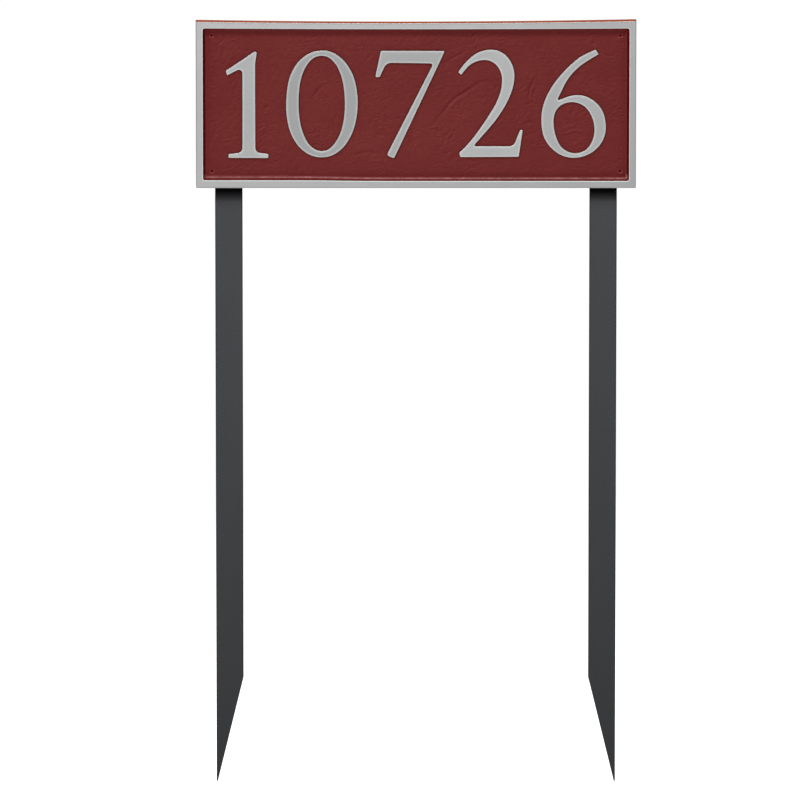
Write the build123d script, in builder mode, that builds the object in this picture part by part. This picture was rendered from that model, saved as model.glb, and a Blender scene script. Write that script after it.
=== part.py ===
from build123d import *
import os
from math import cos, radians, sin, sqrt, tan

os.makedirs("parts", exist_ok=True)

# Lawn address sign: a cast plaque with raised numerals, carried by two flat stakes that are
# pushed into the soil. Millimetres, X to the right, Y away from the reader, Z up.
# The origin is on the soil line, midway between the stakes and in the middle of their thickness.

# Plaque casting
plaque_width = 406.4
plaque_height = 155.9
plaque_thickness = 9.5
top_hollow = 1.5
edge_draft = 1.5
plaque_corner = 1.2
border_width = 7.0
top_border_width = 6.5
border_edge_radius = 0.6
field_depth = 6.0
field_top_hollow = 0.5
field_wall_draft = 16.0
field_mouth_corner = 1.8
field_corner = 1.2
field_fillet = 1.0

# Raised numerals, drawn on a grid where a numeral is 100 high
drawn_height = 100.0
numeral_height = 100.0
numeral_relief = 2.4
numeral_draft = 8.0
numeral_end_radius = 0.9
baseline_height = 27.8
numeral_gaps = (15.9, 15.9, 12.5, 16.7)

# Shallow drill marks in the corners of the field
mark_diameter = 2.2
mark_depth = 0.6
mark_inset = 7.8

# Stakes: flat bar with rolled edges, cut to a point at the outer edge
stake_width = 25.4
stake_thickness = 3.2
stake_length = 609.6
stake_inset = 30.1
stake_point_length = 99.0
stake_point_width = 1.2
stake_edge_radius = 0.5
soil_depth = 203.2
stake_overlap = 46.0

# Bosses cast on the back of the plaque, tapped for the screws that hold the stakes
boss_height = 6.0
boss_diameter = 14.0
boss_draft = 4.0
upper_screw_margin = 12.0
screw_pitch = 20.0
thread_clearance = 0.03
hole_run_out = 1.5
stake_hole_clearance = 0.35

# Pan-head screws with a cross recess
screw_diameter = 4.8
screw_length = 9.5
head_diameter = 9.2
head_flat_diameter = 6.2
head_height = 2.9
head_rim = 1.3
recess_span = 5.0
recess_slot = 1.2
recess_depth = 1.8

# Split lock washers under the screw heads
washer_diameter = 8.5
washer_thickness = 1.2
washer_clearance = 0.12
washer_gap = 0.9
washer_slant = 0.8

# Worked out from the sizes above
sides = {"left": -1, "right": 1}
stake_front = -stake_thickness / 2
stake_back = stake_thickness / 2
plaque_back = stake_front - boss_height
plaque_front = plaque_back - plaque_thickness
field_front = plaque_front + field_depth
field_width = plaque_width - 2 * border_width
field_height = plaque_height - border_width - top_border_width
field_inset = field_depth * tan(radians(field_wall_draft))
field_floor_width = field_width - 2 * field_inset
field_floor_height = field_height - 2 * field_inset
numeral_inset = numeral_relief * tan(radians(numeral_draft))
boss_flare = boss_height * tan(radians(boss_draft))
stake_spacing = plaque_width - 2 * stake_inset
stake_bottom = -soil_depth
stake_top = stake_length - soil_depth
plaque_bottom = stake_top - stake_overlap
field_bottom = plaque_bottom + border_width
field_floor_bottom = field_bottom + field_inset
washer_back = stake_back + washer_thickness
thread_reach = screw_length - washer_thickness - stake_thickness
upper_screw_z = stake_top - upper_screw_margin
levels = {"upper": upper_screw_z, "lower": upper_screw_z - screw_pitch}
screw_points = [(side * stake_spacing / 2, z) for side in sides.values() for z in levels.values()]


def facing_front(x, y, z):
    """A plane seen from the front, with X to the right and Y up."""
    return Plane(origin=(x, y, z), x_dir=(1, 0, 0), z_dir=(0, -1, 0))


def facing_back(x, y, z):
    """A plane seen from behind, with Y up."""
    return Plane(origin=(x, y, z), x_dir=(-1, 0, 0), z_dir=(0, 1, 0))


def hollow_topped_panel(width, height, hollow, corner):
    """A panel that stands on the middle of its bottom edge, and whose top edge dips."""
    with BuildSketch() as panel:
        with BuildLine():
            Polyline((-width / 2, height), (-width / 2, 0), (width / 2, 0), (width / 2, height))
            ThreePointArc((-width / 2, height), (0, height - hollow), (width / 2, height))
        make_face()
        fillet(panel.vertices(), corner)
    return panel.sketch


def heading(angle):
    return Vector(cos(radians(angle)), sin(radians(angle)))


def arc_pair(start, end):
    """Two arcs that meet smoothly and run from one (x, y, heading) to the next."""
    start_point, end_point = Vector(*start[:2]), Vector(*end[:2])
    leave, arrive = heading(start[2]), heading(end[2])
    chord = end_point - start_point
    along = chord.dot(leave + arrive)
    turn = 2 * (1 - leave.dot(arrive))
    reach = (sqrt(along**2 + turn * chord.dot(chord)) - along) / turn
    meet = (start_point + end_point + (leave - arrive) * reach) / 2
    TangentArc(start_point, meet, tangent=leave)
    TangentArc(end_point, meet, tangent=-arrive)


def stroke(*nodes):
    """A smooth run of arcs through nodes that each give x, y and the heading there."""
    for start, end in zip(nodes, nodes[1:]):
        arc_pair(start, end)


def nearest(sketch, points):
    """The sketch's corner at each of the points."""
    return [sketch.vertices().sort_by_distance(point)[0] for point in points]


def outline_of_one():
    foot_left, foot_right = (2.3, -0.3), (39.6, -0.5)
    serif_right, bracket_right = (39.7, 3.6), (27.7, 5.2)
    stem_bend, apex = (27.6, 88.0), (29.6, 101.4)
    flag_top, flag_end, flag_root = (0.0, 81.3), (1.2, 76.6), (15.3, 84.0)
    bracket_left, serif_left = (15.1, 5.2), (2.3, 3.4)
    end, bracket, bend, crown, armpit = numeral_end_radius, 4.5, 20.0, 1.8, 3.0
    with BuildSketch() as one:
        with BuildLine():
            FilletPolyline(
                foot_left, foot_right, serif_right, bracket_right, stem_bend, apex,
                flag_top, flag_end, flag_root, bracket_left, serif_left,
                radius=[end, end, end, bracket, bend, crown, end, end, armpit, bracket, end],
                close=True,
            )
        make_face()
    return one.sketch


def outline_of_zero():
    left, top, right, bottom = (0.0, 48.0, 90), (34.0, 100.5, 0), (66.6, 51.5, -90), (33.0, 0.1, 180)
    inner_left, inner_top = (12.0, 50.5, 90), (33.0, 95.1, 0)
    inner_right, inner_bottom = (54.2, 50.0, -90), (33.2, 6.4, 180)
    with BuildSketch() as zero:
        with BuildLine():
            stroke(left, (8.9, 86.4, 56), top, (55.3, 89.0, -51), right)
            stroke(right, (56.3, 13.6, -124), bottom, (10.1, 12.4, 126), left)
        make_face()
        with BuildLine():
            stroke(inner_left, (18.2, 84.0, 63), inner_top, (48.0, 83.6, -64), inner_right)
            stroke(inner_right, (47.4, 17.5, -118), inner_bottom, (18.8, 17.0, 117), inner_left)
        make_face(mode=Mode.SUBTRACT)
    return zero.sketch


def outline_of_seven():
    bar_left, bar_right = (4.9, 100.1), (64.4, 100.0)
    foot_right, foot_left = (17.3, -0.9), (10.1, 2.2)
    crotch, bar_root = (53.2, 87.9), (10.2, 88.5)
    serif_right, serif_left = (4.2, 75.2), (-0.4, 75.2)
    end = numeral_end_radius
    with BuildSketch() as seven:
        with BuildLine():
            FilletPolyline(
                bar_left, bar_right, foot_right, foot_left,
                crotch, bar_root, serif_right, serif_left,
                radius=[end, end, 1.6, 2.2, 1.5, 7.0, 1.6, 1.2],
                close=True,
            )
        make_face()
    return seven.sketch


def outline_of_two():
    tip_outer, tip_inner = (-0.3, 79.9), (2.7, 77.2)
    crown, shoulder, neck = (30.3, 101.2, 0), (52.05, 76.8, -90), (43.4, 48.5, -119)
    inner_neck, inner_shoulder = (30.9, 44.2, 58.5), (40.15, 73.0, 90)
    inner_crown, inner_tip = (24.4, 91.1, 180), (10.6, 86.3, -140)
    crotch, heel, toe, foot_end = (14.2, 11.0), (0.8, 4.7), (1.6, 0.4), (56.1, 0.7)
    rise_root, rise_left, rise_right = (50.9, 10.9), (56.9, 26.1), (59.9, 26.4)
    end, root = numeral_end_radius, 6.0
    with BuildSketch() as two:
        with BuildLine():
            stroke((*tip_outer, 59), crown, shoulder, neck, (*crotch, -132))
            FilletPolyline(
                crotch, rise_root, rise_left, rise_right, foot_end, toe, heel,
                radius=[root, end, end, end, end],
            )
            stroke((*heel, 43), inner_neck, inner_shoulder, inner_crown, inner_tip, (*tip_inner, -130))
            Line(tip_inner, tip_outer)
        make_face()
        fillet(nearest(two, (tip_outer, tip_inner, crotch, heel)), end)
    return two.sketch


def outline_of_six():
    tip_top, tip_end = (50.2, 101.5), (53.4, 96.7)
    back, base, belly, brow = (0.0, 35.5, -90), (30.0, -0.3, 0), (60.1, 28.5, 90), (33.9, 58.75, 180)
    notch_below, notch_above = (16.9, 54.2, -155.5), (15.7, 55.45, 64)
    bowl_left, bowl_top = (11.8, 33.5, 90), (28.5, 51.8, 0)
    bowl_right, bowl_base = (49.05, 26.0, -90), (31.9, 4.4, 180)
    with BuildSketch() as six:
        with BuildLine():
            stroke((*tip_top, -153), (35.0, 93.6, -144.5), (17.5, 76.9, -131), back)
            stroke(back, (5.1, 14.2, -57), base, belly, (53.6, 48.8, 130), brow, notch_below)
            stroke(notch_below, notch_above, (28.6, 78.3, 49.4), (*tip_end, 29))
            Line(tip_end, tip_top)
        make_face()
        fillet(nearest(six, (tip_top, tip_end)), numeral_end_radius)
        with BuildLine():
            stroke(bowl_left, (14.7, 45.1, 56), bowl_top, bowl_right, bowl_base, bowl_left)
        make_face(mode=Mode.SUBTRACT)
    return six.sketch


def row_of_numerals(outlines, gaps):
    """Sets the outlines side by side, centred, and gives each with the X where it is placed."""
    scaled = [scale(outline, by=numeral_height / drawn_height) for outline in outlines]
    boxes = [outline.bounding_box() for outline in scaled]
    left = -(sum(box.size.X for box in boxes) + sum(gaps)) / 2
    row = []
    for outline, box, gap in zip(scaled, boxes, (*gaps, 0)):
        row.append((outline, left - box.min.X))
        left += box.size.X + gap
    return row


# Plaque: one casting, with a raised border and numerals in front and four bosses behind
numerals = row_of_numerals(
    (outline_of_one(), outline_of_zero(), outline_of_seven(), outline_of_two(), outline_of_six()),
    numeral_gaps,
)

with BuildPart() as plaque:
    with BuildSketch(facing_front(0, plaque_back, plaque_bottom)):
        add(hollow_topped_panel(plaque_width, plaque_height, top_hollow, plaque_corner))
    extrude(amount=plaque_thickness, taper=edge_draft)
    with BuildSketch(facing_front(0, plaque_front, field_bottom)):
        add(hollow_topped_panel(field_width, field_height, field_top_hollow, field_mouth_corner))
    with BuildSketch(facing_front(0, field_front, field_floor_bottom)):
        add(hollow_topped_panel(field_floor_width, field_floor_height, field_top_hollow, field_corner))
    loft(ruled=True, mode=Mode.SUBTRACT)
    field_face = plaque.faces().filter_by(Axis.Y).sort_by(Axis.Y)[1]
    fillet(field_face.edges(), field_fillet)
    border_face = plaque.faces().filter_by(Axis.Y).sort_by(Axis.Y)[0]
    fillet(border_face.edges(), border_edge_radius)

    for outline, left in numerals:
        with BuildSketch(facing_front(left, field_front, plaque_bottom + baseline_height)):
            add(outline)
        with BuildSketch(facing_front(left, field_front - numeral_relief, plaque_bottom + baseline_height)):
            add(offset(outline, amount=-numeral_inset, kind=Kind.ARC, mode=Mode.PRIVATE))
        loft(ruled=True)

    with BuildSketch(facing_front(0, field_front, field_bottom + field_height / 2)):
        with GridLocations(field_width - 2 * mark_inset, field_height - 2 * mark_inset, 2, 2):
            Circle(mark_diameter / 2)
    extrude(amount=-mark_depth, mode=Mode.SUBTRACT)

    with BuildSketch(facing_back(0, plaque_back, 0)):
        with Locations(*screw_points):
            Circle(boss_diameter / 2 + boss_flare)
    extrude(amount=boss_height, taper=boss_draft)
    with BuildSketch(facing_front(0, stake_front, 0)):
        with Locations(*screw_points):
            Circle(screw_diameter / 2 + thread_clearance)
    extrude(amount=thread_reach + hole_run_out, mode=Mode.SUBTRACT)

plaque.part.label = "plaque"
export_step(plaque.part, "parts/plaque.step")

# Stakes: mirror images of each other, each with two clearance holes near its top
for side_name, side in sides.items():
    stake_x = side * stake_spacing / 2
    outer, inner = side * stake_width / 2, -side * stake_width / 2
    with BuildPart() as stake:
        with BuildSketch(facing_front(stake_x, stake_back, stake_bottom)):
            Rectangle(stake_width, stake_length, align=(Align.CENTER, Align.MIN))
        extrude(amount=stake_thickness)
        fillet(stake.edges().filter_by(Axis.Z), stake_edge_radius)
        with BuildSketch(facing_front(stake_x, stake_back, stake_bottom)):
            with BuildLine():
                tip = outer - side * stake_point_width
                Polyline((tip, 0), (inner, 0), (inner, stake_point_length), close=True)
            make_face()
        extrude(amount=stake_thickness, mode=Mode.SUBTRACT)
        with BuildSketch(facing_front(stake_x, stake_back, 0)):
            with Locations(*[(0, z) for z in levels.values()]):
                Circle(screw_diameter / 2 + stake_hole_clearance)
        extrude(amount=stake_thickness, mode=Mode.SUBTRACT)
    stake.part.label = f"{side_name}_stake"
    export_step(stake.part, f"parts/{side_name}_stake.step")

# Fasteners: a screw and a lock washer at each boss
for side_name, side in sides.items():
    for level_name, z in levels.items():
        x = side * stake_spacing / 2
        core, rim, flat = screw_diameter / 2, head_diameter / 2, head_flat_diameter / 2
        with BuildPart() as screw:
            with BuildSketch(Plane(origin=(x, washer_back, z), x_dir=(1, 0, 0), z_dir=(0, 0, 1))):
                with BuildLine():
                    Polyline(
                        (0, -screw_length), (core, -screw_length), (core, 0), (rim, 0),
                        (rim, head_rim), (flat, head_height), (0, head_height), close=True,
                    )
                make_face()
            revolve(axis=Axis((x, washer_back, z), (0, 1, 0)))
            with BuildSketch(facing_front(x, washer_back + head_height, z)):
                Rectangle(recess_span, recess_slot)
                Rectangle(recess_slot, recess_span)
            extrude(amount=recess_depth, mode=Mode.SUBTRACT)
        screw.part.label = f"{side_name}_{level_name}_screw"
        export_step(screw.part, f"parts/{side_name}_{level_name}_screw.step")

        with BuildPart() as washer:
            with BuildSketch(facing_front(x, washer_back, z)):
                Circle(washer_diameter / 2)
                Circle(core + washer_clearance, mode=Mode.SUBTRACT)
            extrude(amount=washer_thickness)
            with BuildSketch(Plane(origin=(x, stake_back, z), x_dir=(0, 1, 0), z_dir=(1, 0, 0))):
                with BuildLine():
                    Polyline(
                        (0, -washer_gap / 2), (washer_thickness, washer_slant - washer_gap / 2),
                        (washer_thickness, washer_slant + washer_gap / 2), (0, washer_gap / 2), close=True,
                    )
                make_face()
            extrude(amount=washer_diameter / 2, mode=Mode.SUBTRACT)
        washer.part.label = f"{side_name}_{level_name}_lock_washer"
        export_step(washer.part, f"parts/{side_name}_{level_name}_lock_washer.step")
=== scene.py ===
from collections import namedtuple
from math import cos, exp, hypot, pi, radians, sin, sqrt, tan, tanh

import bmesh
import bpy
import numpy as np
from mathutils import Matrix, Vector, kdtree, noise
from mathutils.geometry import delaunay_2d_cdt


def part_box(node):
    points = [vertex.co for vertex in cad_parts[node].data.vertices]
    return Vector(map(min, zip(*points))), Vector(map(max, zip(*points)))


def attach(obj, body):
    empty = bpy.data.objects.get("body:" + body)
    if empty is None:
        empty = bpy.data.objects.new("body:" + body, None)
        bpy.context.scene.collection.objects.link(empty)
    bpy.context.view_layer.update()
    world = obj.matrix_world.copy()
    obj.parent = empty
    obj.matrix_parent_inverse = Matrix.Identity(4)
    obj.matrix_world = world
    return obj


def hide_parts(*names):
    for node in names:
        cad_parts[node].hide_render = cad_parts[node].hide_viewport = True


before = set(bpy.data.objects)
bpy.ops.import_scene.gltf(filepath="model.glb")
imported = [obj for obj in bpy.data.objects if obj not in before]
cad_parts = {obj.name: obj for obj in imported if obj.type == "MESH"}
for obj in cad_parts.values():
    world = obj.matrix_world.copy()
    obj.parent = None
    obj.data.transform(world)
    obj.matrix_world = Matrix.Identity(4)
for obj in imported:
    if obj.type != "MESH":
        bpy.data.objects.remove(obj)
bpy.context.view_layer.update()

# Lawn address sign. Lengths below are millimetres in the frame's axes: X right, Y away, Z up.
MM = 0.001
RED, SILVER = 0, 1


def in_mm(vector):
    return Vector(vector) / MM


# Sizes read from the frame
plaque_low, plaque_high = map(in_mm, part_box("plaque"))
stake_low, stake_high = map(in_mm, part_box("left_stake"))
plaque_middle = (plaque_low + plaque_high) / 2
stake_middle = (stake_low + stake_high) / 2
cad_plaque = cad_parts["plaque"].data

# Cast and painted details of the plaque
border_round = 0.6
back_corner = 1.2
field_round = 1.0
numeral_round = 0.5
numeral_draft = tan(radians(8))
boss_height = 6.0
hole_in_plate = 0.9
paint_step = 1.3
rim_width = 0.4

# A panel's edges, the dip of its top, the radius of its corners, how much lower its low edge runs past
# slump_middle, and how far its top leans up to the right
Panel = namedtuple("Panel", "left right low high dip corner slump lean", defaults=(0,) * 8)
slump_middle, slump_width = -72, 20

# How far the hand-finished border strays from its drawn shape
outer_slip = Panel(low=-0.2, dip=0.15, lean=0.28)
back_slip = Panel(high=0.35, dip=0.5, lean=0.28)
inner_slip = Panel(left=-0.3, right=0.45, low=0.41, high=-0.18, dip=0.25, slump=0.62)
field_slip = Panel(low=0.95, slump=1.15)

# How fine the plaque's mesh is
outline_step = 0.7
field_step = 0.96
cap_step = 1.4
back_step = 12.0

# A corner this near a level lies on it
level_slack = 0.01

# Relief of the cast skin, the size and reach of each bend in it, and how strongly its slopes get painted
# light and shade
swell_size, swell_height = 31, 0.10
wrinkle_length, wrinkle_width, wrinkle_height = 7.5, 3.2, 0.20
pebble_length, pebble_width, pebble_height = 3.8, 1.8, 0.09
patch_size = 21
bends = ((23, 10), (7, 2))
lit_gain = 1.25

# How dark the silver of each numeral is, from left to right
numeral_tones = (0.38, 0.80, 0.58, 0.29, 0.48)

# Casting creases in the field, as (points from the middle and the low edge, width, depth)
creases = (
    (((13, 53), (20, 65), (25, 70), (31.5, 79), (37, 84), (44.5, 88.5), (52, 93.5), (59, 98.5),
      (66, 99.5), (73, 96)), 1.4, 0.26),
    (((27, 66), (33, 76), (40, 82), (49, 87)), 1.4, -0.10),
    (((109.5, 103), (107.5, 97), (104.5, 91)), 0.9, 0.20),
    (((106.5, 98), (104.5, 90), (103.5, 80)), 0.9, 0.20),
    (((110.5, 95), (109, 88), (107, 82)), 0.8, 0.17),
    (((113.5, 110), (111.5, 102), (112.5, 94)), 0.8, 0.14),
    (((101, 76), (106, 79), (111, 77)), 0.9, 0.14),
    (((99, 58), (105, 61.5), (112, 59)), 1.1, 0.20),
    (((133, 49), (145, 52.5), (153, 52)), 1.0, -0.22),
    (((137, 56), (148, 58)), 1.0, -0.16),
    (((-96, 83), (-91, 90), (-86, 96)), 1.2, 0.24),
    (((-90, 91), (-83, 84), (-80, 83)), 1.1, 0.20),
    (((-88, 97), (-80, 99)), 1.0, -0.16),
    (((-140, 74), (-136, 75.5)), 1.2, 0.32),
    (((-140, 69), (-136, 69)), 1.0, -0.2),
    (((20, 113), (34, 121), (47, 128)), 1.2, 0.20),
    (((12, 55), (22, 57)), 1.0, -0.22),
    (((-60, 30), (-44, 33), (-30, 31)), 1.4, 0.14),
)


# Outlines

def flat_levels(mesh):
    """Depths of the flat faces that look forward, the nearest first."""
    forward = [face for face in mesh.polygons if face.normal.y < -0.99999]
    return sorted({round(face.center.y / MM, 1) for face in forward})


def flat_outlines(mesh, depth):
    """Closed outlines of the flat faces at this depth, the largest first.

    Of a face that looks forward, the outline keeps the face on its left.
    """
    edges = set()
    for face in mesh.polygons:
        corners = [in_mm(mesh.vertices[i].co) for i in face.vertices]
        if abs(face.normal.y) < 0.999 or any(abs(corner.y - depth) > level_slack for corner in corners):
            continue
        keys = [(round(corner.x, 3), round(corner.z, 3)) for corner in corners]
        for edge in zip(keys, keys[1:] + keys[:1]):
            if edge[::-1] in edges:
                edges.remove(edge[::-1])
            else:
                edges.add(edge)
    following = dict(edges)
    outlines = []
    while following:
        start, point = following.popitem()
        outline = [start]
        while point != start:
            outline.append(point)
            point = following.pop(point)
        outlines.append(np.array(outline))
    return sorted(outlines, key=lambda outline: -abs(area(outline)))


def area(outline):
    """Area inside an outline, less than zero where it runs clockwise."""
    x, z = outline.T
    return (x @ np.roll(z, -1) - z @ np.roll(x, -1)) / 2


def encloses(outline, point):
    """Whether a line from the point to the right meets the outline an odd number of times."""
    x, z = outline.T
    point_x, point_z = point
    next_x, next_z = np.roll(x, -1), np.roll(z, -1)
    spans = (z > point_z) != (next_z > point_z)
    rise = np.where(next_z == z, 1, next_z - z)
    meets = x + (point_z - z) / rise * (next_x - x)
    return (spans & (meets > point_x)).sum() % 2 == 1


def smooth_outline(outline, step):
    """A smooth curve through the outline's points, cut into even steps."""
    cuts, fewest_stops = 12, 12
    before, after, last = (np.roll(outline, shift, 0) for shift in (1, -1, -2))
    gap = np.sqrt(np.linalg.norm(after - outline, axis=1))[:, None]
    gap_before, gap_after = np.roll(gap, 1, 0), np.roll(gap, -1, 0)
    span = (after - outline) / gap
    leave = span - (after - before) / (gap_before + gap) + (outline - before) / gap_before
    arrive = (last - after) / gap_after - (last - outline) / (gap + gap_after) + span
    t = np.linspace(0, 1, cuts, endpoint=False)[None, :, None]
    start, end = outline[:, None, :], after[:, None, :]
    leave, arrive = (leave * gap)[:, None, :], (arrive * gap)[:, None, :]
    fade = 3 * t**2 - 2 * t**3
    curve = start + (end - start) * fade + leave * t * (1 - t) ** 2 - arrive * t**2 * (1 - t)
    curve = curve.reshape(-1, 2)
    closed = np.vstack([curve, curve[:1]])
    run = np.concatenate([[0], np.cumsum(np.linalg.norm(np.diff(closed, axis=0), axis=1))])
    stops = np.linspace(0, run[-1], max(fewest_stops, round(run[-1] / step)), endpoint=False)
    return np.column_stack([np.interp(stops, run, closed[:, 0]), np.interp(stops, run, closed[:, 1])])


def inset(outline, distance):
    """The outline moved to its left; where it would turn back on itself, its points draw together."""
    passes = 4
    along = np.roll(outline, -1, 0) - np.roll(outline, 1, 0)
    along /= np.linalg.norm(along, axis=1)[:, None]
    moved = outline + distance * np.column_stack([-along[:, 1], along[:, 0]])
    ahead = np.roll(outline, -1, 0) - outline
    for _ in range(passes):
        after = np.roll(moved, -1, 0)
        backwards = ((after - moved) * ahead).sum(1) < 0
        middle = (moved + after) / 2
        moved[backwards] = middle[backwards]
        moved[np.roll(backwards, 1)] = middle[backwards]
    return moved


def drawn_panel(outline):
    """The panel that an outline of the frame bounds, which has no slump and no lean."""
    corner_reach = 3
    x, z = outline.T
    left, right, low, high = x.min(), x.max(), z.min(), z.max()
    top = outline[(z > high - corner_reach) & (abs(x) < right - corner_reach)]
    top = top[top[:, 0].argsort()]
    dip = high - np.interp(0, top[:, 0], top[:, 1])
    corner = np.hypot(x - left, z - low).min() / (sqrt(2) - 1)
    return Panel(left, right, low, high, dip, corner)


def strayed(shape, slip):
    """The panel with a slip added to each of its values."""
    return Panel(*(value + change for value, change in zip(shape, slip)))


def grown(shape, distance):
    """The panel with its edges this much further out, or further in where the distance is negative."""
    least_corner = 0.1
    return shape._replace(
        left=shape.left - distance,
        right=shape.right + distance,
        low=shape.low - distance,
        high=shape.high + distance,
        corner=max(shape.corner + distance, least_corner),
    )


def between(start, end, share):
    """The panel at this share of the way from one to another."""
    return Panel(*(first + (last - first) * share for first, last in zip(start, end)))


def panel_outline(shape):
    """Points round a panel, anticlockwise; every panel gets as many, so that they can be joined."""
    step, corner_steps = 2.0, 6
    left, right, low, high, dip, corner, slump, lean = shape
    across = round((plaque_high.x - plaque_low.x) / step)
    upward = round((plaque_high.z - plaque_low.z) / step)
    corners = (
        (left + corner, low + corner, pi, across),
        (right - corner, low + corner, 1.5 * pi, upward),
        (right - corner, high - corner, 0, across),
        (left + corner, high - corner, 0.5 * pi, upward),
    )
    points = []
    for (x, z, angle, count), (next_x, next_z, *_) in zip(corners, corners[1:] + corners[:1]):
        for turn in np.linspace(angle, angle + pi / 2, corner_steps, endpoint=False):
            points.append((x + corner * cos(turn), z + corner * sin(turn)))
        reach = corner * np.array([cos(angle + pi / 2), sin(angle + pi / 2)])
        start, end = np.array([x, z]) + reach, np.array([next_x, next_z]) + reach
        points.extend(np.linspace(start, end, count, endpoint=False))
    points = np.array(points)
    x, z = points.T
    top = top_shift(2 * (x - left) / (right - left) - 1, dip, lean)
    bottom = -slump * (1 + np.tanh((x - slump_middle) / slump_width)) / 2
    points[:, 1] += np.where(z > (low + high) / 2, top, bottom)
    return points


def top_shift(across, dip, lean):
    """Height that a dip and a lean add to a top edge, from across = -1 at its left to 1 at its right."""
    return lean * across - dip * (1 - across**2)


def between_rings(faces, ring_edges):
    """The triangles that lie inside an odd number of rings."""
    neighbours = {}
    for number, face in enumerate(faces):
        for edge in zip(face, face[1:] + face[:1]):
            neighbours.setdefault(frozenset(edge), []).append(number)
    inside = {sharing[0]: True for sharing in neighbours.values() if len(sharing) == 1}
    waiting = list(inside)
    while waiting:
        number = waiting.pop()
        face = faces[number]
        for edge in map(frozenset, zip(face, face[1:] + face[:1])):
            for other in neighbours[edge]:
                if other not in inside:
                    inside[other] = inside[number] != (edge in ring_edges)
                    waiting.append(other)
    return [face for number, face in enumerate(faces) if inside[number]]


# Mesh building

class Skin:
    """Collects points and faces, with the paint of each face and marks for the paint at each point."""

    def __init__(self, *labels):
        self.points, self.faces, self.paints = [], [], []
        self.marks = {label: [] for label in labels}

    def point(self, x, y, z, **marks):
        self.points.append((x, y, z))
        for label, values in self.marks.items():
            values.append(marks.get(label, 0.0))
        return len(self.points) - 1

    def face(self, corners, paint):
        self.faces.append(tuple(corners))
        self.paints.append(paint)

    def ring(self, outline, depth, **marks):
        """A point for each of the outline's; a mark may be a number or a function of x and z."""
        ring = []
        for x, z in outline:
            here = {label: mark(x, z) if callable(mark) else mark for label, mark in marks.items()}
            ring.append(self.point(x, depth, z, **here))
        return ring

    def bands(self, rings):
        """Joins (ring, paint) pairs of equally many points, each with the paint that leads to it."""
        for (outer, _), (inner, paint) in zip(rings, rings[1:]):
            for i in range(len(outer)):
                j = (i + 1) % len(outer)
                self.face((outer[i], outer[j], inner[j], inner[i]), paint)

    def fill(self, rings, step, surface, paint):
        """Triangles between rings, through a grid of points whose depth and marks surface gives."""
        row_height, clearance = 0.87 * step, 0.6 * step
        inside_edges, merge_distance = 1, 1e-5
        ring_points = [i for ring in rings for i in ring]
        flat = [Vector((self.points[i][0], self.points[i][2])) for i in ring_points]
        edges = []
        for ring in rings:
            first = len(edges)
            edges.extend((first + i, first + (i + 1) % len(ring)) for i in range(len(ring)))
        tree = kdtree.KDTree(4 * len(edges))
        for start, end in edges:
            for quarter in range(4):
                tree.insert((*flat[start].lerp(flat[end], quarter / 4), 0), start)
        tree.balance()
        low_x, high_x = min(point.x for point in flat), max(point.x for point in flat)
        low_z, high_z = min(point.y for point in flat), max(point.y for point in flat)
        for row, z in enumerate(np.arange(low_z, high_z, row_height)):
            for x in np.arange(low_x + (row % 2) * step / 2, high_x, step):
                _, _, away = tree.find((x, z, 0))
                if away > clearance:
                    flat.append(Vector((x, z)))
        points, joints, faces, origins, joint_origins, _ = delaunay_2d_cdt(
            flat, edges, [], inside_edges, merge_distance
        )
        ring_edges = {frozenset(joint) for joint, known in zip(joints, joint_origins) if known}
        index = {}
        for face in between_rings(faces, ring_edges):
            for corner in face:
                if corner in index:
                    continue
                known = [origin for origin in origins[corner] if origin < len(ring_points)]
                if known:
                    index[corner] = ring_points[known[0]]
                    continue
                x, z = points[corner]
                _, _, away = tree.find((x, z, 0))
                depth, marks = surface(x, z, away)
                index[corner] = self.point(x, depth, z, **marks)
            self.face((index[corner] for corner in face), paint)

    def copy_faces(self, mesh, wanted, paint):
        for face in mesh.polygons:
            corners = [in_mm(mesh.vertices[i].co) for i in face.vertices]
            if wanted(corners):
                self.face([self.point(*corner) for corner in corners], paint)

    def build(self, name, materials):
        weld, sharp_angle = 0.002, 40
        mesh = bpy.data.meshes.new(name)
        mesh.from_pydata([Vector(point) * MM for point in self.points], [], self.faces)
        for material in materials:
            mesh.materials.append(material)
        mesh.polygons.foreach_set("material_index", self.paints)
        for label, values in self.marks.items():
            mesh.attributes.new(label, "FLOAT", "POINT").data.foreach_set("value", values)
        cleaner = bmesh.new()
        cleaner.from_mesh(mesh)
        bmesh.ops.remove_doubles(cleaner, verts=cleaner.verts, dist=weld * MM)
        bmesh.ops.recalc_face_normals(cleaner, faces=cleaner.faces)
        cleaner.to_mesh(mesh)
        cleaner.free()
        mesh.polygons.foreach_set("use_smooth", [True] * len(mesh.polygons))
        mesh.set_sharp_from_angle(angle=radians(sharp_angle))
        piece = bpy.data.objects.new(name, mesh)
        bpy.context.scene.collection.objects.link(piece)
        return piece


# Materials

def srgb(*levels):
    """Linear colour of an 8-bit screen colour."""
    return (*[((level / 255 + 0.055) / 1.055) ** 2.4 for level in levels], 1.0)


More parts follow.
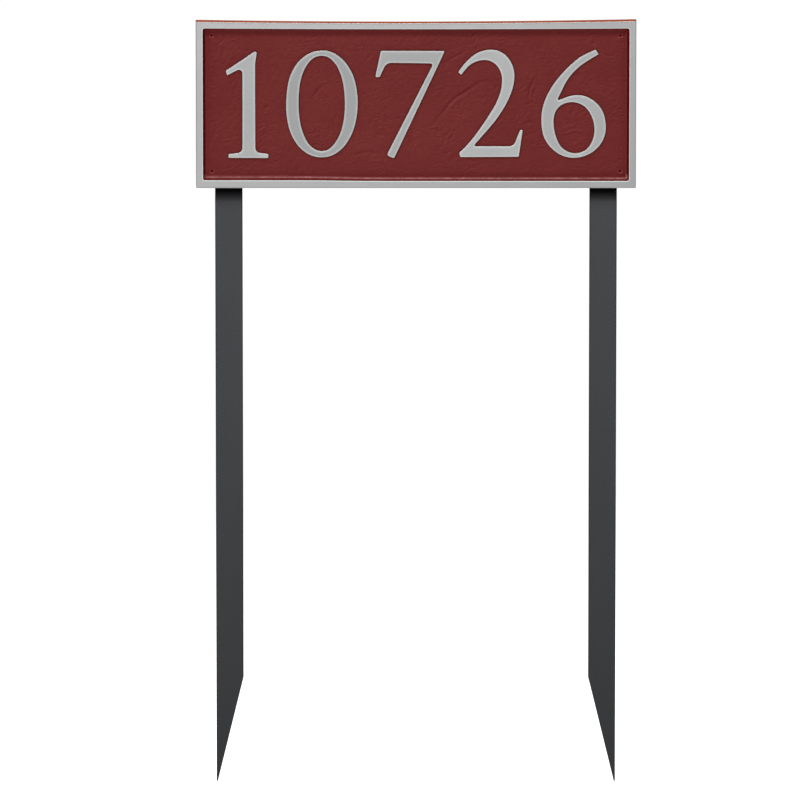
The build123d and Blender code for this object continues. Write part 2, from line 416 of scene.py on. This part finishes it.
class Paint:
    """A Principled material and short ways to add nodes to it."""

    def __init__(self, name, **sockets):
        self.material = bpy.data.materials.new(name)
        self.material.use_nodes = True
        self.tree = self.material.node_tree
        self.shader = self.tree.nodes["Principled BSDF"]
        for socket, value in sockets.items():
            self.shader.inputs[socket.replace("_", " ")].default_value = value
        self.place = self.add("ShaderNodeTexCoord").outputs["Object"]

    def add(self, kind, values=(), **settings):
        node = self.tree.nodes.new(kind)
        for key, value in settings.items():
            setattr(node, key, value)
        for socket, value in dict(values).items():
            if isinstance(value, bpy.types.NodeSocket):
                self.tree.links.new(value, node.inputs[socket])
            else:
                node.inputs[socket].default_value = value
        return node

    def noise(self, size, detail=2.0, roughness=0.5, stretch=(1, 1, 1)):
        """Noise whose features are about this many millimetres across."""
        mapping = self.add("ShaderNodeMapping", {"Vector": self.place, "Scale": stretch})
        values = {"Scale": 1 / (size * MM), "Detail": detail, "Roughness": roughness}
        values["Vector"] = mapping.outputs["Vector"]
        return self.add("ShaderNodeTexNoise", values).outputs["Fac"]

    def cells(self, size):
        """Distance to the edge of pebbles about this many millimetres across."""
        values = {"Vector": self.place, "Scale": 1 / (size * MM)}
        return self.add("ShaderNodeTexVoronoi", values, feature="DISTANCE_TO_EDGE").outputs["Distance"]

    def remap(self, value, low, high, to_low=0.0, to_high=1.0):
        values = {"Value": value, "From Min": low, "From Max": high}
        values.update({"To Min": to_low, "To Max": to_high})
        return self.add("ShaderNodeMapRange", values).outputs["Result"]

    def math(self, operation, first, second=0.0):
        return self.add("ShaderNodeMath", {0: first, 1: second}, operation=operation).outputs[0]

    def mix(self, factor, first, second):
        return self.add("ShaderNodeMix", {0: factor, 6: first, 7: second}, data_type="RGBA").outputs[2]

    def attribute(self, name):
        return self.add("ShaderNodeAttribute", attribute_name=name).outputs["Fac"]

    def axis(self, name):
        """A point's X, Y or Z in millimetres."""
        split = self.add("ShaderNodeSeparateXYZ", {"Vector": self.place})
        return self.math("DIVIDE", split.outputs[name], MM)

    def upturned(self):
        """From 0 on upright faces to 1 on those that look at the sky."""
        normal = self.add("ShaderNodeNewGeometry").outputs["Normal"]
        split = self.add("ShaderNodeSeparateXYZ", {"Vector": normal})
        return self.remap(split.outputs["Z"], 0.3, 0.8)

    def bump(self, height, depth, below=None):
        """Bump of this depth in millimetres where height runs from 0 to 1, over the bump below."""
        values = {"Height": height, "Distance": depth * MM}
        if below:
            values["Normal"] = below
        return self.add("ShaderNodeBump", values).outputs["Normal"]

    def drive(self, socket, value):
        self.tree.links.new(value, self.shader.inputs[socket])


def silver_paint():
    """Aluminium paint: fine flakes, cloudy, with painted highlights along its edges and painted shade from
    its tone mark.
    """
    paint = Paint("aluminium_paint", Roughness=0.5, Metallic=0.2, Specular_IOR_Level=0.2)
    clouds = paint.noise(24, 3.0)
    flakes = paint.noise(0.9, 2.0, 0.7)
    tone = paint.mix(paint.remap(clouds, 0.3, 0.7), srgb(171, 171, 171), srgb(179, 179, 179))
    tone = paint.mix(paint.remap(flakes, 0.35, 0.65, 0.0, 0.4), tone, srgb(154, 154, 155))
    upturned = paint.upturned()
    # Painted shade: the tone mark darkens the silver, as the numerals' own tone and as shade on the
    # border, less where faces look up.
    darkening = paint.math("MULTIPLY", paint.attribute("tone"), paint.math("SUBTRACT", 1.0, upturned))
    tone = paint.mix(darkening, tone, srgb(140, 141, 141))
    # Painted highlight along the edges, brightest where they look up.
    bright = paint.mix(upturned, srgb(198, 207, 202), srgb(246, 247, 242))
    tone = paint.mix(paint.attribute("wear"), tone, bright)
    paint.drive("Base Color", tone)
    paint.drive("Roughness", paint.remap(flakes, 0.3, 0.7, 0.42, 0.58))
    streaks = paint.bump(paint.noise(1.1, 2.0, stretch=(0.25, 1, 1)), 0.03)
    paint.drive("Normal", paint.bump(paint.noise(0.8, 4.0, 0.65), 0.03, streaks))
    return paint.material


def red_paint():
    """Satin enamel over a sand-cast skin: mottled, pebbled, with painted shade in crevices, painted light
    and shade on its slopes and on faces that look up, and silver spilt on it that is also a painted
    highlight.
    """
    paint = Paint("red_enamel", Roughness=0.6, Specular_IOR_Level=0.01)
    clouds = paint.noise(34, 3.0)
    grain = paint.noise(2.4, 4.0, 0.6)
    tone = paint.mix(paint.remap(clouds, 0.3, 0.7), srgb(106, 43, 41), srgb(111, 46, 45))
    tone = paint.mix(paint.remap(grain, 0.35, 0.65, 0.0, 0.6), tone, srgb(102, 40, 40))
    # Painted light and shade: lighter where the skin's slopes lean towards the light, darker where they
    # lean away.
    tone = paint.mix(paint.remap(paint.attribute("lit"), 0.0, 1.0), tone, srgb(150, 79, 78))
    tone = paint.mix(paint.remap(paint.attribute("lit"), 0.0, -0.6), tone, srgb(72, 4, 4))
    # Painted light: the outer red faces turn orange where they look up, as if lit from above.
    bleached = paint.math("MULTIPLY", paint.upturned(), paint.attribute("open"))
    tone = paint.mix(bleached, tone, srgb(122, 56, 34))
    # Painted shade: darkest red in crevices, recesses and creases and under the border.
    tone = paint.mix(paint.attribute("dirt"), tone, srgb(84, 2, 10))
    # Silver spilt on the sill, which also serves as a painted highlight along the fillet's foot.
    spatter = paint.remap(paint.noise(1.6, 3.0, 0.7, (0.6, 1, 1)), 0.4, 0.6, 0.45, 1.0)
    spill = paint.math("MULTIPLY", paint.attribute("spill"), spatter)
    tone = paint.mix(spill, tone, srgb(228, 160, 162))
    paint.drive("Base Color", tone)
    paint.drive("Roughness", paint.remap(grain, 0.3, 0.7, 0.48, 0.62))
    streaks = paint.bump(paint.noise(2.0, 3.0, 0.6, (0.35, 1, 1)), 0.35)
    pebbles = paint.bump(paint.remap(paint.cells(2.0), 0.0, 0.5), 0.05, streaks)
    paint.drive("Normal", paint.bump(paint.noise(0.9, 3.0, 0.6), 0.06, pebbles))
    return paint.material


def powder_coat():
    """Charcoal powder coat with an orange-peel skin, and a painted shadow that makes it nearly black just
    under the plaque.
    """
    paint = Paint("charcoal_powder_coat", Roughness=0.55, Specular_IOR_Level=0.02)
    clouds = paint.noise(30, 2.0, stretch=(1, 1, 0.3))
    speckle = paint.noise(1.2, 3.0, 0.6)
    tone = paint.mix(paint.remap(clouds, 0.3, 0.7), srgb(68, 69, 71), srgb(71, 72, 74))
    tone = paint.mix(paint.remap(speckle, 0.3, 0.7, 0.0, 0.5), tone, srgb(64, 65, 67))
    height = paint.axis("Z")
    fade_end = plaque_low.z - 20
    # Painted shade: darker towards the points.
    tone = paint.mix(paint.remap(height, stake_low.z, fade_end, 1.0, 0.0), tone, srgb(51, 52, 54))
    # Painted shade along the stakes' long edges.
    off_middle = paint.math("SUBTRACT", paint.math("ABSOLUTE", paint.axis("X")), -stake_middle.x)
    off_middle = paint.math("ABSOLUTE", off_middle)
    half_width = stake_high.x - stake_middle.x
    edge_start, edge_end = half_width - 1.3, half_width - 0.4
    tone = paint.mix(paint.remap(off_middle, edge_start, edge_end, 0.0, 0.6), tone, srgb(40, 41, 42))
    # Painted shadow of the plaque across the stakes' front faces, black just under it.
    shade_start, shade_end = plaque_low.z - 4.2, plaque_low.z - 15.2
    bare = paint.remap(height, shade_start, shade_end)
    shade = paint.math("SUBTRACT", 1.0, paint.math("POWER", bare, 1.8))
    shade = paint.math("MULTIPLY", shade, paint.remap(paint.axis("Y"), stake_high.y, stake_low.y))
    tone = paint.mix(shade, tone, (0, 0, 0, 1))
    paint.drive("Base Color", tone)
    paint.drive("Roughness", paint.remap(speckle, 0.3, 0.7, 0.44, 0.58))
    paint.drive("Normal", paint.bump(paint.noise(1.6, 2.0), 0.05))
    return paint.material


def zinc_plate():
    """Zinc-plated steel, a little blotchy, with faint turning marks."""
    paint = Paint("zinc_plate", Roughness=0.36, Metallic=0.9)
    blotches = paint.noise(2.2, 3.0)
    tone = paint.mix(paint.remap(blotches, 0.3, 0.7), srgb(168, 170, 174), srgb(192, 192, 190))
    paint.drive("Base Color", tone)
    paint.drive("Roughness", paint.remap(blotches, 0.3, 0.7, 0.3, 0.44))
    paint.drive("Normal", paint.bump(paint.noise(0.35, 2.0, stretch=(1, 4, 1)), 0.01))
    return paint.material


# Plaque

def distance_along(x, z, path):
    """Distance from a point to a line through points, and the share of the line where it is met."""
    best, share = 1e9, 0.0
    for i, ((start_x, start_z), (end_x, end_z)) in enumerate(zip(path, path[1:])):
        run_x, run_z = end_x - start_x, end_z - start_z
        t = ((x - start_x) * run_x + (z - start_z) * run_z) / (run_x**2 + run_z**2)
        t = min(max(t, 0.0), 1.0)
        gap = hypot(x - start_x - t * run_x, z - start_z - t * run_z)
        if gap < best:
            best, share = gap, (i + t) / (len(path) - 1)
    return best, share


def field_relief(x, z):
    """How far the cast skin stands in front of the true field, and how deep a crease is there."""
    crease_reach = 5
    spot = Vector((x, 0.0, z))
    bent = spot
    for size, reach in bends:
        bent = bent + noise.noise_vector(spot / size) * reach
    height = noise.fractal(spot / swell_size, 1.0, 2.0, 2) * swell_height
    patch = max(0.75 + 1.1 * noise.noise(spot / patch_size + Vector((40.0, 0.0, 0.0))), 0.2)
    wrinkle = noise.noise(Vector((bent.x / wrinkle_length, 3.0, bent.z / wrinkle_width)))
    height -= abs(wrinkle) * wrinkle_height * patch
    pebble = noise.noise(Vector((bent.x / pebble_length, 9.0, bent.z / pebble_width)))
    height += pebble * pebble_height * patch
    crease = 0.0
    for path, width, depth in creases:
        first, last = min(path)[0], max(path)[0]
        if first - crease_reach < x < last + crease_reach:
            gap, share = distance_along(x, z - plaque_low.z, path)
            crease += depth * exp(-((gap / width) ** 2)) * sin(pi * share) ** 0.7
    return height - crease, crease


def catches_light(x, z):
    """From -1 to 1, how far the skin leans towards the light, which comes from above and the left."""
    probe = 0.5
    (above, _), (below, _) = field_relief(x, z + probe), field_relief(x, z - probe)
    (right, _), (left, _) = field_relief(x + probe, z), field_relief(x - probe, z)
    return min(max((0.6 * (right - left) - (above - below)) * lit_gain, -1.0), 1.0)


def quarter_turn(steps):
    """Sine of, and one minus cosine of, even angles up to a right angle."""
    return [(sin(angle), 1 - cos(angle)) for angle in np.linspace(0, pi / 2, steps + 1)]


def add_border(skin, outer_outline, inner_outline, field_outline, front, floor, back):
    """The casting's sides and raised border, as rings; returns the back edge's ring and the field's."""
    outer, inner, field = map(drawn_panel, (outer_outline, inner_outline, field_outline))
    sides = Panel(plaque_low.x, plaque_high.x, plaque_low.z, plaque_high.z, outer.dip, back_corner)
    sides = strayed(sides, back_slip)
    outer = strayed(outer, outer_slip)
    inner = strayed(inner, inner_slip)
    field = strayed(field, field_slip)
    sill_margin = 0.3
    sill = field.low + field_round + sill_margin
    edge_band, rim_band = 0.5, 1.5 * rim_width
    streak_length, fade_middle, fade_width = 8, -120, 10

    # Painted shade on the border's silver: darker towards the right and the bottom, lighter at the top.
    def tone(x, z):
        across = (x - plaque_low.x) / (plaque_high.x - plaque_low.x)
        upward = (z - plaque_low.z) / (plaque_high.z - plaque_low.z)
        return 0.3 + 0.34 * across**2 - 0.26 * upward**2

    def on_sill(x, z):
        return float(z < sill)

    # Spilt silver in streaks on the sill, also a painted highlight, with less of it to the left.
    def spilt(x, z):
        streak = 0.6 + 0.5 * noise.noise(Vector((x / streak_length, 0.0, 3.0)))
        fade = 0.85 + 0.15 * tanh((x - fade_middle) / fade_width)
        return streak * fade * on_sill(x, z)

    # Painted highlight along the inner edge, full on the sill.
    def wear(x, z):
        return 1.0 if z < sill else 0.65

    # The sides' red, where it looks up, gets painted top light.
    rings = [(skin.ring(panel_outline(sides), back, open=1.0), RED)]
    # The outer rounding: painted shade darkens its silver, and its red gets painted top light where it
    # looks up.
    for rise, turn in reversed(quarter_turn(5)):
        outline = panel_outline(grown(outer, border_round * rise))
        paint = SILVER if turn < 0.5 else RED
        rings.append((skin.ring(outline, front + border_round * turn, tone=1.0, open=1.0), paint))
    for band in (grown(outer, -edge_band), grown(inner, rim_band)):
        rings.append((skin.ring(panel_outline(band), front, tone=tone), SILVER))
    # Inner rounding: a painted highlight on its silver edge, painted shade on its red.
    for rise, turn in quarter_turn(5):
        outline = panel_outline(grown(inner, -border_round * rise))
        paint = SILVER if turn < 0.25 else RED
        ring = skin.ring(outline, front + border_round * turn, tone=tone, wear=wear, dirt=0.9)
        rings.append((ring, paint))

    wall_top, wall_foot = front + border_round, floor - field_round
    top_shape, foot_shape = grown(inner, -border_round), grown(field, field_round)
    # Walls: painted shade, less on the sill, which gets painted light instead.
    for share in (0.25, 0.65):
        ring = skin.ring(
            panel_outline(between(top_shape, foot_shape, share)),
            wall_top + (wall_foot - wall_top) * share,
            dirt=lambda x, z: 0.9 - 0.45 * on_sill(x, z),
            lit=lambda x, z: 0.4 * on_sill(x, z),
        )
        rings.append((ring, RED))
    # Fillet at the field: painted shade away from the sill; on the sill, painted light and spilt silver
    # that is also a painted highlight.
    for rise, turn in reversed(quarter_turn(4)):
        ring = skin.ring(
            panel_outline(grown(field, field_round * rise)),
            floor - field_round * turn,
            dirt=lambda x, z: 0.8 * turn * (1 - on_sill(x, z)),
            lit=lambda x, z: 0.3 * (1 - turn) * on_sill(x, z),
            spill=lambda x, z: sqrt(turn) * spilt(x, z),
        )
        rings.append((ring, RED))
    skin.bands(rings)
    return rings[0][0], rings[-1][0]


def add_numeral_edge(skin, base, floor, top, tone):
    """One outline's wall from the field to its rounded silver edge; returns the two end rings."""
    rise = floor - top
    wall = rise - numeral_round
    shoulder = wall * numeral_draft
    flat_start = shoulder + numeral_round + 0.2
    # How far inwards, how high, how much painted shade and in which paint each ring is
    profile = [
        (-0.9, 0.0, 0.0, RED),
        (-0.3, 0.0, 0.4, RED),
        (0.02, 0.05, 0.6, RED),
        (paint_step * numeral_draft, paint_step, 0.6, RED),
        (shoulder, wall, 0.0, SILVER),
    ]
    for up, inwards in quarter_turn(4)[1:]:
        profile.append((shoulder + numeral_round * inwards, wall + numeral_round * up, 0.0, SILVER))
    profile.append((flat_start, rise, 0.0, SILVER))
    rings = []
    for inwards, height, dirt, paint in profile:
        # The silver edge carries a painted highlight; the foot rings carry painted shade.
        ring = skin.ring(inset(base, inwards), floor - height, wear=0.4, dirt=dirt, tone=tone)
        rings.append((ring, paint))
    skin.bands(rings)
    return rings[0][0], rings[-1][0]


def add_mark(skin, outline, floor):
    """A shallow drill dimple, as wide as the hole that the outline bounds; returns its mouth."""
    mouth_share = 1.3
    # Share of the radius, depth below the field and painted shade of each ring in the dimple
    dimple = ((1.1, 0.15, 0.8), (0.7, 0.9, 0.9), (0.2, 1.2, 0.9))
    centre = outline.mean(0)
    radius = np.linalg.norm(outline - centre, axis=1).mean()
    turns = np.linspace(0, 2 * pi, 20, endpoint=False)
    circle = np.column_stack([np.cos(turns), np.sin(turns)]) * radius

    # Painted light on the dimple's lower lip, which looks up.
    def lower_lip(x, z):
        return float(z < centre[1] - 0.4 * radius)

    mouth = skin.ring(centre + circle * mouth_share, floor, lit=lower_lip)
    rings = [(mouth, RED)]
    for share, depth, dirt in dimple:
        rings.append((skin.ring(centre + circle * share, floor + depth, dirt=dirt), RED))
    skin.bands(rings)
    skin.face(rings[-1][0], RED)
    return mouth


def add_back(skin, edge, back):
    """The flat back inside its edge, round the bosses, which are the frame's own.

    Their blind holes end less than hole_in_plate in front of the back.
    """
    edge_margin = 5
    boss_feet = flat_outlines(cad_plaque, back)[1:]
    rings = [edge] + [skin.ring(outline, back) for outline in boss_feet]
    skin.fill(rings, back_step, lambda x, z, away: (back, {}), RED)

    def of_boss(corners):
        depths = [corner.y for corner in corners]
        inside = max(abs(corner.x) for corner in corners) < plaque_high.x - edge_margin
        behind = min(depths) > back - hole_in_plate
        return inside and behind and max(abs(depth - back) for depth in depths) > level_slack

    skin.copy_faces(cad_plaque, of_boss, RED)


def near(distance, reach):
    """From 1 at an edge down to 0 at this reach from it."""
    return max(1 - distance / reach, 0.0)


def make_plaque():
    """The casting: border, numerals, drill marks, field and back, joined into one closed mesh."""
    mark_area = 10
    crown_height, crown_width = 0.05, 3
    grain_height, grain_size = 0.03, 2.2
    relief_start = 2
    front, top, floor = flat_levels(cad_plaque)[:3]
    back = stake_low.y - boss_height
    field_outline, *others = flat_outlines(cad_plaque, floor)
    marks = [outline for outline in others if abs(area(outline)) < mark_area]
    drawn = [outline[::-1] for outline in others if abs(area(outline)) >= mark_area]
    bases = [smooth_outline(outline, outline_step) for outline in drawn]
    solid = sorted((base for base in bases if area(base) > 0), key=lambda base: base[:, 0].min())

    # Marks: painted highlight, painted shade, spilt silver that is also a painted highlight, silver tone
    # with painted shade, painted light and shade on red, painted top light
    skin = Skin("wear", "dirt", "spill", "tone", "lit", "open")
    border_outlines = flat_outlines(cad_plaque, front)
    back_edge, field_edge = add_border(skin, *border_outlines, field_outline, front, floor, back)
    field_rings = [field_edge]
    for base, tone in zip(solid, numeral_tones):
        caps = []
        for outline in bases:
            if outline is base or (area(outline) < 0 and encloses(base, outline[0])):
                foot, cap = add_numeral_edge(skin, outline, floor, top, tone)
                field_rings.append(foot)
                caps.append(cap)

        def cap_surface(x, z, away):
            crown = crown_height * min(away / crown_width, 1.0)
            grain = noise.noise(Vector((x, 5.0, z)) / grain_size) * grain_height * min(away, 1.0)
            # Painted highlight along the cap's rim, fading inwards.
            return top - crown - grain, {"tone": tone, "wear": max(0.4 * (1 - away / rim_width), 0.0)}

        skin.fill(caps, cap_step, cap_surface, SILVER)
    field_rings.extend(add_mark(skin, outline, floor) for outline in marks)

    left, right, low, high, *_ = drawn_panel(field_outline)

    def field_surface(x, z, away):
        height, crease = field_relief(x, z)
        # Painted shade: in the creases, in a band under the top border as its shadow, near the low edge
        # and the sides, and more towards both sides; the skin's slopes get painted light and shade.
        dirt = min(max(crease, 0.0), 0.5) * 0.8
        dirt += 0.22 * min(max((z - high + 7.0) / 2.0, 0.0), 1.0)
        dirt += 0.25 * near(z - low, 8.0) ** 1.5
        dirt += 0.15 * near(min(x - left, right - x), 9.0) ** 1.5
        dirt += 0.1 * (x / right) ** 2
        strength = min(away / relief_start, 1.0)
        return floor - height * strength, {"dirt": dirt, "lit": catches_light(x, z) * strength}

    skin.fill(field_rings, field_step, field_surface, RED)
    add_back(skin, back_edge, back)
    piece = skin.build("plaque_casting", [red_paint(), silver_paint()])
    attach(piece, "root")
    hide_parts("plaque")


# Screws

def make_screw(node_name, plating):
    """A pan-head screw with a tapered cross recess and a rolled thread, its head at the back."""
    low, high = map(in_mm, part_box(node_name))
    _, washer_high = map(in_mm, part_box(node_name.replace("screw", "lock_washer")))
    centre = np.array([(low.x + high.x) / 2, (low.z + high.z) / 2])
    seat, crown = washer_high.y, high.y
    head_radius = (high.x - low.x) / 2
    core, thread_depth, pitch = 2.4, 0.45, 1.06
    rim, bevel, flat_radius = 1.2, 0.25, 2.9
    span, slot = 2.5, 0.55
    # Share of the cross's width at each depth below the crown
    recess = ((1.0, 0.0), (0.93, 0.15), (0.5, 1.8))
    turns = np.linspace(0, 2 * pi, 40, endpoint=False)
    circle = np.column_stack([np.cos(turns), -np.sin(turns)])
    skin = Skin()
    shank = []
    for y in np.arange(low.y, seat, pitch / 8):
        share = (y / pitch + turns / (2 * pi)) % 1.0
        ridge = np.clip(1.6 - abs(share - 0.5) * 5.0, 0, 1) * min((y - low.y) / pitch, 1.0)
        radius = core - thread_depth * (1 - ridge)
        shank.append((skin.ring(centre + circle * radius[:, None], y), 0))
    skin.bands(shank)
    skin.face(reversed(shank[0][0]), 0)
    profile = [
        (core, seat),
        (head_radius - bevel, seat),
        (head_radius, seat + bevel),
        (head_radius, seat + rim - 0.1),
    ]
    for rise, drop in quarter_turn(6):
        dome = flat_radius + (head_radius - flat_radius) * (1 - drop)
        profile.append((dome, seat + rim + (crown - seat - rim) * rise))
    head = [shank[-1]]
    head.extend((skin.ring(centre + circle * radius, y), 0) for radius, y in profile)
    skin.bands(head)
    cross = []
    for angle in (0, -pi / 2, -pi, -1.5 * pi):
        arm, side = np.array([cos(angle), sin(angle)]), np.array([-sin(angle), cos(angle)])
        tip, half_tip = arm * span, side * slot * 0.8
        cross.extend((tip + half_tip, tip - half_tip, (arm - side) * slot))
    cross = np.array(cross)
    pit = []
    for share, drop in recess:
        pit.append((skin.ring(centre + cross * share, crown - drop), 0))
    skin.bands(pit)
    skin.face(pit[-1][0], 0)
    skin.fill([head[-1][0], pit[0][0]], 0.8, lambda x, z, away: (crown, {}), 0)
    piece = skin.build(node_name + "_detail", [plating])
    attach(piece, "root")
    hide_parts(node_name)


# Camera

def add_camera():
    """A camera as far off and as high as the photograph's, with the plaque at its place in the picture."""
    tilt = radians(10.8)
    distance = 11300.0
    image_size = 800
    plaque_pixel_x, plaque_pixel_y = 416.0, 105.4
    plaque_pixel_width = 440.7
    aim_height = 77.5
    scale = (plaque_high.x - plaque_low.x) / plaque_pixel_width
    forward = Vector((0, cos(tilt), -sin(tilt)))
    upward = Vector((0, sin(tilt), cos(tilt)))
    aim = Vector((0, plaque_low.y, plaque_low.z + aim_height))
    sideways = Vector((plaque_pixel_x - image_size / 2, 0, 0)) * scale
    above = upward * (image_size / 2 - plaque_pixel_y) * scale
    eye = aim - forward * distance - sideways - above
    data = bpy.data.cameras.new("camera")
    data.sensor_width = 36
    data.lens = data.sensor_width * distance / (image_size * scale)
    data.clip_end = 100
    camera = bpy.data.objects.new("camera", data)
    camera.matrix_world = Matrix.Translation(eye * MM) @ Matrix.Rotation(pi / 2 - tilt, 4, "X")
    bpy.context.scene.collection.objects.link(camera)
    bpy.context.scene.camera = camera


# Light

def soft_box(name, azimuth, elevation, distance, width, height, watts):
    """A soft box that faces the plaque, its distance and size in metres.

    Azimuth 0 is in front, and positive is to the right.
    """
    data = bpy.data.lights.new(name, "AREA")
    data.shape = "RECTANGLE"
    data.size, data.size_y, data.energy = width, height, watts
    light = bpy.data.objects.new(name, data)
    azimuth, elevation = radians(azimuth), radians(elevation)
    flat = cos(elevation)
    away = Vector((sin(azimuth) * flat, -cos(azimuth) * flat, sin(elevation)))
    light.location = plaque_middle * MM + away * distance
    light.rotation_euler = away.to_track_quat("Z", "Y").to_euler()
    bpy.context.scene.collection.objects.link(light)


def seen_by_rays(tree):
    """1 where the camera sees, also by way of gloss or glass, and 0 where light is only passed on."""
    rays = tree.nodes.new("ShaderNodeLightPath")
    seen = rays.outputs["Is Camera Ray"]
    for kind in ("Is Glossy Ray", "Is Transmission Ray"):
        either = tree.nodes.new("ShaderNodeMath")
        either.operation = "MAXIMUM"
        tree.links.new(seen, either.inputs[0])
        tree.links.new(rays.outputs[kind], either.inputs[1])
        seen = either.outputs[0]
    return seen


def add_world():
    """Weak even light from all round, where the camera sees plain white."""
    ambient_strength = 0.22
    world = bpy.data.worlds.new("studio")
    world.use_nodes = True
    bpy.context.scene.world = world
    sky = world.node_tree
    white_backdrop = sky.nodes.new("ShaderNodeBackground")
    white_backdrop.inputs["Color"].default_value = (1, 1, 1, 1)
    ambient = sky.nodes["Background"]
    ambient.inputs["Color"].default_value = (1, 1, 1, 1)
    ambient.inputs["Strength"].default_value = ambient_strength
    blend = sky.nodes.new("ShaderNodeMixShader")
    sky.links.new(seen_by_rays(sky), blend.inputs[0])
    sky.links.new(ambient.outputs[0], blend.inputs[1])
    sky.links.new(white_backdrop.outputs[0], blend.inputs[2])
    sky.links.new(blend.outputs[0], sky.nodes["World Output"].inputs["Surface"])


def add_floor():
    """Ground under the stakes' points: it keeps the shadow near them and is white further out."""
    reach, gap = 8.0, 0.0005
    white_start, white_end = 0.6, 1.4
    level = stake_low.z * MM - gap
    corners = [(x * reach, y * reach, level) for x, y in ((-1, -1), (1, -1), (1, 1), (-1, 1))]
    mesh = bpy.data.meshes.new("studio_floor")
    mesh.from_pydata(corners, [], [(0, 1, 2, 3)])
    paint = Paint("pale_floor", Roughness=0.9, Specular_IOR_Level=0.1, Emission_Color=(1, 1, 1, 1))
    seen = seen_by_rays(paint.tree)
    length = paint.add("ShaderNodeVectorMath", {0: paint.place}, operation="LENGTH")
    distance = length.outputs["Value"]
    lift = paint.remap(distance, white_start, white_end, 0.55, 1.0)
    paint.drive("Emission Strength", paint.math("MULTIPLY", seen, lift))
    given_way = paint.math("MULTIPLY", seen, paint.remap(distance, white_start, white_end))
    paint.drive("Base Color", paint.mix(given_way, (0.8, 0.8, 0.8, 1), (0, 0, 0, 1)))
    mesh.materials.append(paint.material)
    floor = bpy.data.objects.new("studio_floor", mesh)
    bpy.context.scene.collection.objects.link(floor)


# The scene

make_plaque()
coat, plating = powder_coat(), zinc_plate()
for name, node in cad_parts.items():
    if name.endswith("screw"):
        make_screw(name, plating)
    elif name != "plaque":
        node.data.materials.clear()
        node.data.materials.append(coat if name.endswith("stake") else plating)

add_camera()
soft_box("low_box", -10, 14, 4.0, 3.4, 1.6, 52)
soft_box("key_box", -16, 48, 3.6, 1.6, 1.0, 60)
soft_box("top_box", -5, 97, 2.6, 2.4, 1.2, 86)
add_world()
add_floor()
bpy.context.scene.view_settings.view_transform = "Standard"
